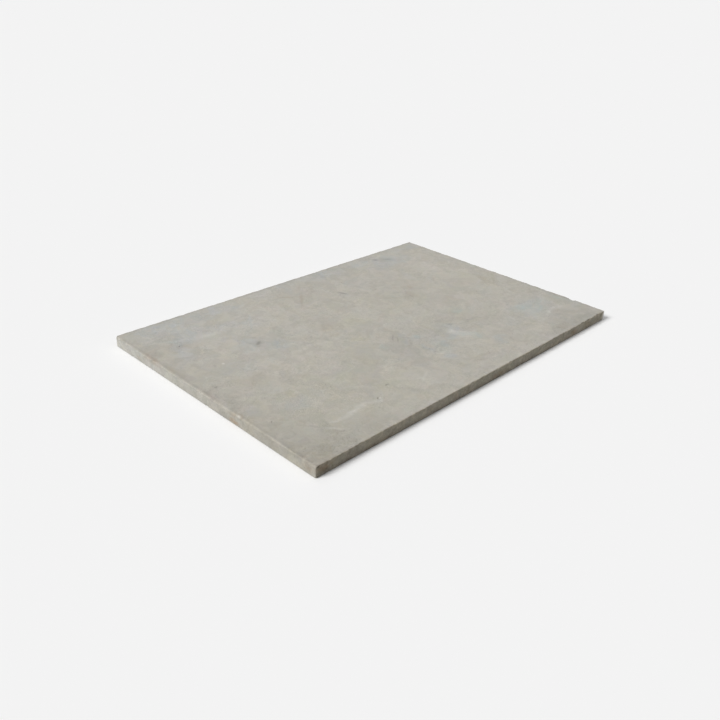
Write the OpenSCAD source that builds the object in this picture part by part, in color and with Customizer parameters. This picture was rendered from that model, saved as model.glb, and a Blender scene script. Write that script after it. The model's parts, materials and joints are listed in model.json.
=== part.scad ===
// A limestone tile: one flat piece of sawn and honed stone, lying on its underside.
// Millimetres, with +X along the length, +Y across the width and +Z up.
// The origin is at the middle of the underside.
// Sides count anticlockwise as seen from above: 0 is the front (-Y), 1 the right end (+X),
// 2 the back (+Y) and 3 the left end (-X). Corner 0 is where side 0 starts, at the front left.

/* [Stock] */
// Length of the tile, over its sawn ends
tile_l = 600; // [300:5:900]
// Width of the tile, over its sawn sides
tile_w = 400; // [300:5:600]
// Thickness of the tile
tile_t = 15; // [10:0.5:30]

/* [Worn top arrises] */
// Wear of the front arris, as a rounding radius
front_wear = 0.6; // [0.3:0.1:1.5]
// Wear of the right end's arris
right_wear = 0.8; // [0.3:0.1:1.5]
// Wear of the back arris
back_wear = 0.8; // [0.3:0.1:1.5]
// Wear of the left end's arris, which has been handled most
left_wear = 1.8; // [0.3:0.1:2.5]

/* [Worn foot] */
// Wear of the arrises round the underside
foot_wear = 0.6; // [0.3:0.1:1.5]

/* [Corners, seen from above] */
// Rounding of the front left corner
front_left_r = 1; // [0.5:0.5:6]
// Rounding of the front right corner
front_right_r = 1.5; // [0.5:0.5:6]
// Rounding of the back right corner
back_right_r = 1; // [0.5:0.5:6]
// Rounding of the back left corner
back_left_r = 3.5; // [0.5:0.5:6]

/* [Knocked corners] */
// How far the knock on the front left corner reaches along each arris
front_left_knock = 3; // [2:0.5:9]
// How far the knock on the front right corner reaches
front_right_knock = 2; // [2:0.5:9]
// How far the knock on the back right corner reaches
back_right_knock = 2; // [2:0.5:9]
// How far the knock on the back left corner reaches
back_left_knock = 4; // [2:0.5:9]
// How far each corner of the underside is knocked off
foot_knock = 3; // [2:0.5:6]

/* [Spall off the front side, at its right end] */
// Diameter of the round flake that came off, were the side whole round it
spall_d = 17; // [10:0.5:30]
// Depth of the flake, square to the front side
spall_depth = 1; // [0.4:0.1:2.5]
// Distance of the flake's middle from the right end
spall_from_end = 0.5; // [0:0.5:12]
// Height of the flake's middle
spall_z = 6.5; // [4:0.5:11]

/* [Bite out of the right end] */
// Distance of the bite from the front right corner
bite_from_corner = 57; // [30:1:120]
// Length of the bite along the arris
bite_l = 12; // [8:0.5:24]
// Depth of the bite, square to the worn arris
bite_depth = 3; // [1:0.1:4]

/* [Small chips] */
// Mean distance between chips along the front arris
front_chip_pitch = 17; // [12:1:60]
// Mean distance between chips along the other top arrises
chip_pitch = 36; // [20:1:80]
// Mean distance between chips along the foot
foot_chip_pitch = 48; // [30:1:90]
// Length of the shortest chip
chip_l_least = 3; // [2:0.5:6]
// Length of the longest chip
chip_l_most = 8; // [6.5:0.5:14]
// Depth of the shallowest chip
chip_depth_least = 0.35; // [0.2:0.05:0.6]
// Depth of the deepest chip
chip_depth_most = 0.9; // [0.65:0.05:1.4]

/* [Hidden] */

STONE = [0.70, 0.69, 0.65];

// Each side's length and its distance from the middle, and each corner's sizes, by number.
side_l = [tile_l, tile_w, tile_l, tile_w];
side_out = [tile_w / 2, tile_l / 2, tile_w / 2, tile_l / 2];
wear = [front_wear, right_wear, back_wear, left_wear];
pitch = [front_chip_pitch, chip_pitch, chip_pitch, chip_pitch];
corner_r = [front_left_r, front_right_r, back_right_r, back_left_r];
knock = [front_left_knock, front_right_knock, back_right_knock, back_left_knock];

// Flats that make up one worn arris, and one rounded corner.
ARRIS_FLATS = 4;
CORNER_FLATS = 6;
// Facets round the whole ball that a chip, a pore or the spall is part of.
CHIP_FN = 40;
PORE_FN = 24;
SPALL_FN = 96;
// How far a cutter reaches past the surface that it cuts.
over = 0.5;
// Chips keep this far from the corners, and wander by this share of their pitch.
CHIP_MARGIN = 12;
CHIP_WANDER = 0.42;
// The least and the most that a chip leans from the side's face up to the top's, and the bite.
LEAN_LEAST = 12;
LEAN_MOST = 50;
BITE_LEAN = 45;
// How much larger than its reach the block is that knocks off a corner. The angle between the
// corner's diagonal and each edge that meets there, and the way out as seen from above.
KNOCK_BLOCK = 6;
CORNER_TILT = acos(1 / sqrt(3));
OUTWARD = -135;

// The larger chips: side, distance from the corner (a minus counts back from the side's far
// corner), length, depth, and lean from the side's face (0) up to the top's (90).
MAIN_CHIPS = [
    [0, 6, 8, 0.9, 15],
    [0, 17, 9, 0.8, 15],
    [0, 66, 13, 0.9, 18],
    [0, 92, 11, 0.7, 25],
    [0, 190, 6, 1.0, 18],
    [0, 268, 9, 1.0, 18],
    [0, 290, 6, 0.9, 25],
    [0, -268, 16, 0.7, 18],
    [0, -251, 8, 1.1, 18],
    [0, -143, 13, 0.9, 18],
    [0, -121, 6, 0.8, 25],
    [0, -65, 12, 1.2, 18],
    [0, -48, 13, 1.4, 18],
    [0, -30, 9, 1.1, 25],
    [0, -21, 9, 1.7, 18],
    [1, 24, 8, 0.6, 45],
    [1, -183, 10, 0.6, 45],
    [1, -46, 12, 1.0, 45],
    [2, 54, 16, 1.0, 45],
    [2, -107, 9, 0.9, 45],
    [3, 52, 11, 1.0, 40],
    [3, -128, 12, 1.1, 35],
];

// Open pores in the face: distances from the left end and from the front (a minus counts from
// the right end or the back), diameter and depth.
PORES = [
    [180, 67, 4, 0.9],
    [150, 52, 5, 1.2],
    [48, -82, 3.5, 0.8],
    [22, 96, 3, 0.7],
    [-98, 128, 3, 0.7],
    [-232, -61, 4, 0.8],
    [-46, -118, 3, 0.6],
    [128, -46, 3, 0.6],
];

// Turns a distance from either end of a run into a place measured from its middle.
function along(run, from) = from < 0 ? run / 2 + from : from - run / 2;

// Radius of the ball that leaves a scallop of this length and depth in a plane.
function scallop_r(l, depth) = (l * l / 4 + depth * depth) / (2 * depth);

// How far a rounding of this radius falls short of the sharp arris.
function worn_back(r) = r * (sqrt(2) - 1);

// Stretches the step from b to a past a, until it has gone reach further along the given axis.
function past(a, b, axis, reach) = a + (a - b) * reach / abs(a[axis] - b[axis]);

// Points of a quarter round of radius r inside the arris at the origin, from the side to the top.
function quarter(r) =
    [for (i = [0 : ARRIS_FLATS]) [cos(90 * i / ARRIS_FLATS) - 1, sin(90 * i / ARRIS_FLATS) - 1] * r];

// The outline from above, with every corner rounded to its own radius.
function outline() = [
    for (c = [0 : 3], i = [0 : CORNER_FLATS])
        let (
            x = (c == 0 || c == 3 ? -1 : 1) * (tile_l / 2 - corner_r[c]),
            y = (c < 2 ? -1 : 1) * (tile_w / 2 - corner_r[c]),
            turn = 180 + 90 * c + 90 * i / CORNER_FLATS
        )
        [x + corner_r[c] * cos(turn), y + corner_r[c] * sin(turn)]
];

// Draws its children at a side's top arris: X runs along the side from its middle, and -Y is out.
module at_side(side) {
    rotate([0, 0, 90 * side])
        translate([0, -side_out[side], tile_t])
            children();
}

// Draws its children at a corner's top, with +X and +Y running in along its two arrises.
module at_corner(corner) {
    rotate([0, 0, 90 * corner])
        translate([-side_l[corner] / 2, -side_out[corner], tile_t])
            children();
}

// Turns what was drawn for the top over, on to the underside.
module underneath() {
    translate([0, 0, tile_t])
        mirror([0, 0, 1])
            children();
}

// The stock as sawn, before any wear.
module sawn_blank() {
    linear_extrude(tile_t)
        polygon(outline());
}

// What wear takes off one arris: a bar that leaves a rounding of radius r.
module arris_wear(side, r) {
    arc = quarter(r);
    inner = [for (i = [1 : ARRIS_FLATS - 1]) arc[i]];
    low = past(arc[0], arc[1], 0, over);
    high = past(arc[ARRIS_FLATS], arc[ARRIS_FLATS - 1], 1, over);
    at_side(side)
        rotate([90, 0, -90])
            linear_extrude(side_l[side] + 2 * over, center = true)
                polygon(concat([low], inner, [high, [over, over]]));
}

// What a knock takes off a corner: all that lies outside a plane, which meets the two arrises and
// the upright corner at the same reach.
module corner_knock(corner, reach) {
    block = KNOCK_BLOCK * reach;
    at_corner(corner)
        rotate([0, CORNER_TILT, OUTWARD])
            translate([0, 0, block / 2 - reach * cos(CORNER_TILT)])
                cube(block, center = true);
}

// A chip off a top arris: a shallow shell-shaped scallop, sunk below the wear.
module chip(side, from, l, depth, lean) {
    r = scallop_r(l, depth);
    out = r - depth - worn_back(wear[side]);
    at_side(side)
        translate([along(side_l[side], from), -out * cos(lean), out * sin(lean)])
            sphere(r, $fn = CHIP_FN);
}

// A row of small chips along one arris, set out by its pitch and strewn by its seed.
module chip_row(side, spacing, seed) {
    run = side_l[side] - 2 * CHIP_MARGIN;
    n = floor(run / spacing);
    shift = rands(-CHIP_WANDER, CHIP_WANDER, n, seed);
    size = rands(0, 1, n, seed + 1);
    lean = rands(LEAN_LEAST, LEAN_MOST, n, seed + 2);
    for (i = [0 : n - 1])
        chip(
            side,
            CHIP_MARGIN + (i + 0.5 + shift[i]) * run / n,
            chip_l_least + (chip_l_most - chip_l_least) * size[i],
            chip_depth_least + (chip_depth_most - chip_depth_least) * size[i],
            lean[i]
        );
}

// The flake off the front side: a wide, shallow scallop that runs out at the right end.
module spall() {
    r = scallop_r(spall_d, spall_depth);
    at_side(0)
        translate([side_l[0] / 2 - spall_from_end, spall_depth - r, spall_z - tile_t])
            sphere(r, $fn = SPALL_FN);
}

// An open pore in the face.
module pore(from_left, from_front, d, depth) {
    r = scallop_r(d, depth);
    translate([along(tile_l, from_left), along(tile_w, from_front), tile_t + r - depth])
        sphere(r, $fn = PORE_FN);
}

module tile() {
    color(STONE)
        difference() {
            sawn_blank();
            for (side = [0 : 3]) {
                arris_wear(side, wear[side]);
                underneath() arris_wear(side, foot_wear);
                chip_row(side, pitch[side], 10 * side);
                underneath() chip_row(side, foot_chip_pitch, 10 * side + 5);
            }
            for (corner = [0 : 3]) {
                corner_knock(corner, knock[corner]);
                underneath() corner_knock(corner, foot_knock);
            }
            for (c = MAIN_CHIPS)
                chip(c[0], c[1], c[2], c[3], c[4]);
            chip(1, bite_from_corner, bite_l, bite_depth, BITE_LEAN);
            spall();
            for (p = PORES)
                pore(p[0], p[1], p[2], p[3]);
        }
}

tile();
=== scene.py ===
"""A limestone tile: its worn body, its stone and a small studio to see it in.

Everything is in metres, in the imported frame: +X along the tile, +Y across it and +Z up, with the
origin at the middle of the underside.
"""

import json
import math
import random
import bmesh
import bpy
from bpy.props import FloatProperty, FloatVectorProperty, IntProperty, PointerProperty
from mathutils import Matrix, Quaternion, Vector

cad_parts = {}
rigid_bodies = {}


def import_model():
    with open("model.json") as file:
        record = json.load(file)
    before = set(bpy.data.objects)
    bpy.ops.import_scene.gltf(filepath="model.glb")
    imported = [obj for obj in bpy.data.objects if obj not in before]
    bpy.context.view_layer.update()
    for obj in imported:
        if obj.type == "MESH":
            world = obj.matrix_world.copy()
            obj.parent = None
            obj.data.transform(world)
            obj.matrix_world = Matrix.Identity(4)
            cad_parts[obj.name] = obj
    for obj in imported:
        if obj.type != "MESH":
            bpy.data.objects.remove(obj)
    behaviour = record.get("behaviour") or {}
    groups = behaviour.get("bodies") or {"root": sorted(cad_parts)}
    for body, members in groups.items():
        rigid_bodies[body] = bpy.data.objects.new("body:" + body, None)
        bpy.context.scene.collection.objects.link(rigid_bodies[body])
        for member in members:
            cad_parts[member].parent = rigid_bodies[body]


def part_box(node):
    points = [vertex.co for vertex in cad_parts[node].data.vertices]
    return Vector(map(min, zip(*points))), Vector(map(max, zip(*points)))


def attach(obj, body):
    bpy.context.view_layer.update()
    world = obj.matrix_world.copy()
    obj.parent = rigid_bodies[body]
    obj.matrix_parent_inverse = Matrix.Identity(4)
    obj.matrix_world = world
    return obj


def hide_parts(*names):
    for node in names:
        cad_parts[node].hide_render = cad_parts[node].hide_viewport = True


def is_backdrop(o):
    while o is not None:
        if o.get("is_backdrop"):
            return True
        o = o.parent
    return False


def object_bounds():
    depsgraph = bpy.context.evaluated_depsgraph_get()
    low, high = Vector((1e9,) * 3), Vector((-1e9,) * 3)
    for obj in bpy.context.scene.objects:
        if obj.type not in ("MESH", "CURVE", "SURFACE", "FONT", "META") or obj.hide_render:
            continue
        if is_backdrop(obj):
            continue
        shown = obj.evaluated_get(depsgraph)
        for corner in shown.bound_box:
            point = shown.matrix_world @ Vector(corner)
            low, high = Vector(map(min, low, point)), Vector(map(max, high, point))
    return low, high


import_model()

bl_info = {
    "name": "Limestone tile",
    "version": (1, 0, 0),
    "blender": (4, 5, 0),
    "location": "3D View > Sidebar > Tile",
    "description": "Models and finishes a worn tile of honed limestone, and lights it",
    "category": "Object",
}

CAD_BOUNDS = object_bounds()

MM = 0.001
UP = Vector((0, 0, 1))

LOW, HIGH = (Vector(corner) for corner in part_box("tile"))
LENGTH, WIDTH, THICKNESS = HIGH - LOW


# ---- The sizes and colours that a user would change ------------------------------------------


def linear(value):
    """The light that a screen's value, from 0 to 255, stands for."""
    share = value / 255
    return share / 12.92 if share <= 0.04045 else ((share + 0.055) / 1.055) ** 2.4


def length(name, description, millimetres, most):
    return FloatProperty(
        name=name, description=description, default=millimetres * MM, min=0, max=most * MM,
        precision=5, unit="LENGTH",
    )


def colour(name, description, *screen):
    return FloatVectorProperty(
        name=name, description=description, default=[linear(value) for value in screen],
        size=3, min=0, max=1, subtype="COLOR",
    )


class TileShape(bpy.types.PropertyGroup):
    """Wear and damage of the tile's body."""

    arris_wear: length("Arris wear", "Rounding of the arrises round the honed face", 0.7, 2)
    left_wear: length("Left end's wear", "Rounding of the arris handled most", 1.8, 3)
    foot_wear: length("Foot wear", "Rounding of the arrises round the underside", 0.6, 2)
    ragged: length("Raggedness", "Depth of the unevenness along the worn arrises", 0.7, 1.5)
    chip_pitch: length("Chip pitch", "Mean distance between the front arris's chips", 15, 100)
    seed: IntProperty(
        name="Seed", description="Strews the small chips and pores another way", default=7, min=0,
    )


class TileStone(bpy.types.PropertyGroup):
    """Colours, grain and finish of the stone."""

    body: colour("Honed stone", "The honed face", 172.9, 169.0, 159.6)
    sawn: colour("Sawn stone", "The sawn sides and the underside", 175.5, 168.5, 151.5)
    handled: colour("Handled stone", "The left end's front half", 168, 164, 153)
    dusty: colour("Dusty stone", "The left end's back half", 185, 183, 174.5)
    blue: colour("Blue cloud", "Cool clouds in the face", 165.5, 169.5, 171.5)
    green: colour("Green cloud", "Cool clouds with a touch of green", 160, 170.5, 166)
    clay: colour("Clay", "Brown seams and patches", 158, 147, 133)
    ochre: colour("Ochre", "Yellowish patches", 172, 170, 150)
    rose: colour("Rose", "Pale pinkish patches", 182, 176.5, 168)
    # The calcite colour also tints the pale marks, which are partly bruises and partly painted
    # light.
    pale_and_painted_light: colour("Calcite", "The palest streaks and flecks", 205, 203, 196)
    fleck: colour("Dark fleck", "The darkest flecks and pores", 112, 111, 108)
    rust: colour("Rust", "Stains on the sides", 148, 116, 80)
    clouding: FloatProperty(
        name="Clouding", description="How strongly the clouds and patches show",
        default=0.6, min=0, max=2,
    )
    grain: FloatProperty(
        name="Grain", description="How far the grain departs from the body colour",
        default=1.0, min=0, max=4,
    )
    relief: length("Relief", "Height of the honed face's finest relief", 0.03, 1)
    dull: FloatProperty(
        name="Roughness", description="How dull the honed face is",
        default=0.66, min=0, max=1, subtype="FACTOR",
    )


class TileStudio(bpy.types.PropertyGroup):
    """Floor, lamp and backdrop."""

    floor: colour("Floor", "Floor and backdrop as they are seen", 243, 243, 243)
    bounce: FloatProperty(
        name="Bounce", description="Share of the light that the floor gives back to the tile",
        default=0.5, min=0, max=1, subtype="FACTOR",
    )
    key: FloatProperty(
        name="Key light", description="Strength of the lamp", default=2.84, min=0, max=20,
    )
    key_spread: FloatProperty(
        name="Key spread", description="Angle that the lamp fills, as a large soft box does",
        default=math.radians(25), min=0, max=math.pi, subtype="ANGLE",
    )
    dome: FloatProperty(
        name="Dome light", description="Strength of the light from all round",
        default=0.42, min=0, max=5,
    )


# ---- Selecting and changing ------------------------------------------------------------------


def choose(*objects):
    """Selects these objects and nothing else; the last one is the active one."""
    bpy.ops.object.select_all(action="DESELECT")
    for thing in objects:
        thing.select_set(True)
    bpy.context.view_layer.objects.active = objects[-1]


def pick_edges(thing, test):
    """In edit mode, selects just the edges that pass a test."""
    bpy.ops.mesh.select_mode(type="EDGE")
    bpy.ops.mesh.select_all(action="DESELECT")
    net = bmesh.from_edit_mesh(thing.data)
    for edge in net.edges:
        edge.select_set(test(edge))
    bmesh.update_edit_mesh(thing.data)


def middle(edge):
    return (edge.verts[0].co + edge.verts[1].co) / 2


def apply_modifier(thing, kind, **settings):
    """Adds a modifier to the chosen object and applies it at once."""
    modifier = thing.modifiers.new(kind.title(), kind)
    for name, value in settings.items():
        setattr(modifier, name, value)
    bpy.ops.object.modifier_apply(modifier=modifier.name)


def between(least, most, share):
    return least + (most - least) * share


def lumps(name, size, depth=2, contrast=1.0, lift=0.0):
    """A cloudy pattern to displace by, with lumps of about a size.

    Contrast makes the lumps steeper, and a negative lift leaves more flat ground between them.
    """
    pattern = bpy.data.textures.new(name, "CLOUDS")
    pattern.noise_scale = size
    pattern.noise_depth = depth
    pattern.contrast = contrast
    pattern.intensity = 1 + lift
    return pattern


# ---- The tile's body -------------------------------------------------------------------------


class Side:
    """One sawn side. They go anticlockwise from the front, as seen from above."""

    def __init__(self, number, run, reach):
        turn = Matrix.Rotation(number * math.pi / 2, 3, "Z")
        self.along = turn @ Vector((1, 0, 0))
        self.out = turn @ Vector((0, -1, 0))
        self.run, self.reach = run, reach

    def at(self, distance, height=THICKNESS):
        """The place so far along this side; a minus counts back from its far end."""
        from_middle = distance - self.run / 2 if distance >= 0 else self.run / 2 + distance
        return self.out * self.reach + self.along * from_middle + UP * height


FRONT = Side(0, LENGTH, WIDTH / 2)
RIGHT = Side(1, WIDTH, LENGTH / 2)
BACK = Side(2, LENGTH, WIDTH / 2)
LEFT = Side(3, WIDTH, LENGTH / 2)
SIDES = (FRONT, RIGHT, BACK, LEFT)

# The corner where each side starts: its rounding as seen from above, in millimetres.
CORNER_ROUND = (1, 1.5, 1, 3.5)
# How far the knock on it reaches along its arrises, and the same at the foot.
CORNER_KNOCK = (3, 2, 2, 4)
FOOT_KNOCK = 3
# The flake off the front side at its right end, in millimetres: the distance of its middle from
# the end, its height, its depth, and its half length and half height as if it were whole.
SPALL_FROM_END = 0.5
SPALL_HEIGHT = 6.5
SPALL_DEPTH = 0.9
SPALL_HALF = (9, 12)

# The larger chips, in millimetres and degrees: side, distance along it, length, depth, and lean
# up from the side towards the face.
MAIN_CHIPS = (
    (FRONT, 6, 8, 0.9, 15),
    (FRONT, 17, 9, 0.8, 15),
    (FRONT, 66, 13, 0.9, 18),
    (FRONT, 92, 11, 0.7, 25),
    (FRONT, 190, 6, 1.0, 18),
    (FRONT, 268, 9, 1.0, 18),
    (FRONT, 290, 6, 0.9, 25),
    (FRONT, -268, 16, 0.7, 18),
    (FRONT, -251, 8, 1.1, 18),
    (FRONT, -143, 13, 0.9, 18),
    (FRONT, -121, 6, 0.8, 25),
    (FRONT, -65, 12, 1.2, 18),
    (FRONT, -48, 13, 1.4, 18),
    (FRONT, -30, 9, 1.1, 25),
    (FRONT, -21, 9, 1.7, 18),
    (RIGHT, 24, 8, 0.6, 45),
    (RIGHT, 58, 12, 2.6, 45),
    (RIGHT, 55, 8, 3.2, 45),
    (RIGHT, -183, 10, 0.6, 45),
    (RIGHT, -46, 12, 1.0, 45),
    (BACK, 54, 16, 1.0, 45),
    (BACK, -107, 9, 0.9, 45),
    (LEFT, 52, 11, 1.0, 40),
    (LEFT, -128, 12, 1.1, 35),
)

# Open pores, in millimetres: distances from the left end and the front, or with a minus from the
# right end and the back, then diameter and depth.
MAIN_PORES = (
    (180, 67, 4, 0.9),
    (150, 52, 5, 1.2),
    (48, -82, 3.5, 0.8),
    (22, 96, 3, 0.7),
    (-98, 128, 3, 0.7),
    (-232, -61, 4, 0.8),
    (-46, -118, 3, 0.6),
    (128, -46, 3, 0.6),
)
SMALL_PORES = 60

# How ragged the wear is along the front, the right end, the back and the left end, and how far
# from the sharp arris it reaches.
RAGGED_SHARE = (1, 0.9, 0.5, 0.6)
RAGGED_REACH = 2.4 * MM
# What lies this near to a side or a face is on it.
ON_SURFACE = 0.5 * MM

# The mesh: its cells across the faces and its rows down the sides, then the insets of the cuts
# along each side, and how many more cuts part the long edges that lie within those.
COARSE_CELL = 6 * MM
SIDE_ROWS = 12
FINE_INSETS = (2.6 * MM, 4.2 * MM)
FINE_CUTS = 5
LONG_EDGE = 2 * MM
NEAR = 0.01 * MM
# Faces that meet at less than this are shaded as one surface.
SMOOTH_ANGLE = math.radians(38)

# A chip's lump, in shares of the chip's length and depth: how far out of the arris its middle
# lies, and its radii along the arris, outwards and square to both.
CHIP_OUT = 1.35
CHIP_RADII = (0.6, 2.4, 4.2)
# How much deeper the larger chips go, because wear has already taken the arris back.
CHIP_SINK = 0.25
# The small chips, in millimetres and degrees: the least and the most of length, depth and lean.
# The larger the bias, the more of them are near the least size. Each wanders within its own
# stretch of the arris.
SMALL_RUN = (2.5, 8.5)
SMALL_DEPTH = (0.5, 1.4)
SMALL_LEAN = (12, 50)
SMALL_BIAS = 1.5
SMALL_WANDER = (0.1, 0.9)
# Where their rows end before a corner, and how many times sparser than along the front arris they
# are along the other arrises and along the foot.
ROW_MARGIN = 12 * MM
OTHERS_SPARSER = 2
FOOT_SPARSER = 3
# The radius of a knock's lump, in shares of the knock's reach.
KNOCK_ROUND = 2.2
# The flake's lump is this many times as wide as the flake, and its middle lies this many depths
# out of the side.
SPALL_WIDER = 1.35
SPALL_OUT = 2
# A pore's lump, in shares of the pore's diameter and depth: its radii, and how far above the face
# its middle lies.
PORE_RADII = (0.56, 0.5, 1.5)
PORE_UP = 0.5
# The small pores, in millimetres: the least and the most of diameter, and how deep for their
# diameter. They keep this far from the sides.
PORE_SIZE = (1.2, 2.2)
PORE_DEPTH_SHARE = 0.25
PORE_MARGIN = 9 * MM
# The bulges on a lump of radius 1: their width, their height, and how far out they may reach.
BULGE_SIZE = 0.4
BULGE_HEIGHT = 0.16
BULGE_REACH = 1.1


def sawn_block():
    """The tile's block, with its arrises and upright corners rounded by wear."""
    shape = bpy.context.scene.tile_shape
    widest = max(CORNER_ROUND) * MM
    bpy.ops.object.select_all(action="DESELECT")
    bpy.ops.mesh.primitive_cube_add(size=1, location=(LOW + HIGH) / 2, scale=HIGH - LOW)
    tile = bpy.context.object
    choose(tile)
    bpy.ops.object.transform_apply(location=True, rotation=True, scale=True)
    bpy.ops.object.mode_set(mode="EDIT")

    def weigh(wear, test):
        pick_edges(tile, test)
        bpy.ops.transform.edge_bevelweight(value=wear / widest)

    weigh(shape.foot_wear, lambda edge: middle(edge).z < MM)
    for side, corner_round in zip(SIDES, CORNER_ROUND):
        wear = shape.left_wear if side is LEFT else shape.arris_wear
        arris = side.at(side.run / 2)
        corner = side.at(0, THICKNESS / 2)
        weigh(wear, lambda edge: (middle(edge) - arris).length < MM)
        weigh(corner_round * MM, lambda edge: (middle(edge) - corner).length < MM)
    bpy.ops.object.mode_set(mode="OBJECT")
    apply_modifier(tile, "BEVEL", limit_method="WEIGHT", width=widest, segments=3)
    return tile


def cut_across(axis, places):
    """Cuts the whole mesh by planes square to an axis."""
    normal = [float(number == axis) for number in range(3)]
    for place in places:
        bpy.ops.mesh.select_all(action="SELECT")
        bpy.ops.mesh.bisect(plane_co=[place * part for part in normal], plane_no=normal)


def cuts(low, high, size, ends=()):
    """Places that part a run into cells of about a size, with more at distances from its ends."""
    count = round((high - low) / size)
    even = [low + (high - low) * number / count for number in range(1, count)]
    return even + [low + end for end in ends] + [high - end for end in ends]


def divide(tile):
    """Divides the mesh into coarse cells, and finer ones along the arrises and down the sides."""
    bpy.ops.object.mode_set(mode="EDIT")
    cut_across(0, cuts(LOW.x, HIGH.x, COARSE_CELL, FINE_INSETS))
    cut_across(1, cuts(LOW.y, HIGH.y, COARSE_CELL, FINE_INSETS))
    cut_across(2, cuts(LOW.z, HIGH.z, THICKNESS / SIDE_ROWS))
    for side in SIDES:

        def runs_along(edge):
            start, end = (vertex.co for vertex in edge.verts)
            step = end - start
            inset = side.reach - min(start.dot(side.out), end.dot(side.out))
            parallel = abs(step.dot(side.along)) > 0.9 * step.length
            return parallel and step.length > LONG_EDGE and inset < max(FINE_INSETS) + NEAR

        pick_edges(tile, runs_along)
        bpy.ops.mesh.subdivide(number_cuts=FINE_CUTS)
    bpy.ops.object.mode_set(mode="OBJECT")


def raggedness(inset, height):
    """How ragged a place this far from two surfaces is: 1 near their arris, 0 past its reach."""
    share = 1.5 - 1.5 * math.hypot(inset, height) / RAGGED_REACH
    return max(0, min(1, share))


def weather(tile):
    """Wears the arrises unevenly, and gives the sides and the faces their slight waves."""
    shape = bpy.context.scene.tile_shape
    groups = {
        name: tile.vertex_groups.new(name=name) for name in ("Arris", "Foot", "Sawn side", "Face")
    }
    for vertex in tile.data.vertices:
        insets = [side.reach - vertex.co.dot(side.out) for side in SIDES]
        inset = min(insets)
        ragged = RAGGED_SHARE[insets.index(inset)]
        drop = HIGH.z - vertex.co.z
        rise = vertex.co.z - LOW.z
        for name, weight in (
            ("Arris", ragged * raggedness(inset, drop)),
            ("Foot", raggedness(inset, rise)),
            ("Sawn side", 1 if inset < ON_SURFACE else 0),
            ("Face", 1 if min(drop, rise) < ON_SURFACE else 0),
        ):
            if weight > 0:
                groups[name].add([vertex.index], weight, "REPLACE")
    choose(tile)
    # Where the waves are, the size of their lumps, their depth, and their contrast and lift.
    for name, size, depth, contrast, lift in (
        ("Arris", 11 * MM, shape.ragged, 2.6, -0.25),
        ("Arris", 3.5 * MM, shape.ragged * 0.7, 2.6, -0.25),
        ("Foot", 5 * MM, shape.ragged * 0.6, 1, 0),
        ("Sawn side", 30 * MM, 0.14 * MM, 1, 0),
        ("Sawn side", 4 * MM, 0.12 * MM, 1, 0),
        ("Face", 55 * MM, 0.08 * MM, 1, 0),
    ):
        waves = lumps(f"{name} waves", size, contrast=contrast, lift=lift)
        apply_modifier(
            tile, "DISPLACE", texture=waves, mid_level=0, texture_coords="LOCAL",
            vertex_group=name, strength=-depth,
        )
    tile.vertex_groups.clear()
    # Where the wear folds the mesh over an arris, a point may stand proud of the stone.
    for vertex in tile.data.vertices:
        vertex.co = [min(max(part, low), high) for part, low, high in zip(vertex.co, LOW, HIGH)]


def broken_lump():
    """A rough ball of radius 1. What it is cut out of is left with a broken surface."""
    bpy.ops.object.select_all(action="DESELECT")
    bpy.ops.mesh.primitive_ico_sphere_add(subdivisions=3, radius=1)
    lump = bpy.context.object
    choose(lump)
    bulges = lumps("Broken surface", BULGE_SIZE, 3)
    apply_modifier(
        lump, "DISPLACE", texture=bulges, mid_level=0.5, texture_coords="LOCAL",
        strength=BULGE_HEIGHT,
    )
    return lump


def cutter(lump, place, chance):
    """A copy of the lump with a mesh of its own, spun at random and put in its place."""
    spin = Quaternion([chance.gauss(0, 1) for _ in range(4)]).normalized()
    copy = lump.copy()
    copy.data = lump.data.copy()
    copy.data.transform(place @ spin.to_matrix().to_4x4())
    bpy.context.scene.collection.objects.link(copy)
    return copy


def stretched(place, radii, turn=Matrix.Identity(3)):
    """Stretches a ball to these radii, turns it and puts it in its place."""
    return Matrix.Translation(place) @ turn.to_4x4() @ Matrix.Diagonal((*radii, 1))


def chip_at(side, distance, run, depth, lean, underneath=False):
    """Where a lump takes a chip off a side's arris: the face's, or the foot's underneath."""
    rise = -UP if underneath else UP
    across = side.out * math.cos(lean) + rise * math.sin(lean)
    square = side.along.cross(across)
    turn = Matrix((side.along, across, square)).transposed()
    place = side.at(distance, 0 if underneath else THICKNESS) + across * CHIP_OUT * depth
    sizes = (run, depth, depth)
    radii = [share * size for share, size in zip(CHIP_RADII, sizes)]
    return stretched(place, radii, turn)


def small_chips(side, pitch, chance, underneath=False):
    """A row of small chips along one arris."""
    row = side.run - 2 * ROW_MARGIN
    count = int(row / pitch)
    for number in range(count):
        size = chance.random() ** SMALL_BIAS
        distance = ROW_MARGIN + row * (number + chance.uniform(*SMALL_WANDER)) / count
        lean = math.radians(chance.uniform(*SMALL_LEAN))
        run = between(*SMALL_RUN, size) * MM
        depth = between(*SMALL_DEPTH, size) * MM
        yield chip_at(side, distance, run, depth, lean, underneath)


def knock_at(side, reach, underneath=False):
    """Where a large lump knocks off the corner at which a side starts."""
    rise = -UP if underneath else UP
    inward = (side.along - side.out - rise).normalized()
    radius = KNOCK_ROUND * reach
    corner = side.at(0, 0 if underneath else THICKNESS)
    return stretched(corner + inward * (reach / math.sqrt(3) - radius), [radius] * 3)


def spall_at():
    """Where a lump takes a flat flake off the front side, at its right end."""
    place = FRONT.at(FRONT.run - SPALL_FROM_END * MM, SPALL_HEIGHT * MM)
    half_run, half_rise = (SPALL_WIDER * half * MM for half in SPALL_HALF)
    depth = SPALL_DEPTH * MM
    out = FRONT.out * SPALL_OUT * depth
    return stretched(place + out, (half_run, (SPALL_OUT + 1) * depth, half_rise))


def pore_at(x, y, diameter, depth):
    """Where a lump opens a pore in the honed face."""
    sizes = (diameter, diameter, depth)
    radii = [share * size for share, size in zip(PORE_RADII, sizes)]
    return stretched(Vector((x, y, THICKNESS + PORE_UP * depth)), radii)


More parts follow.
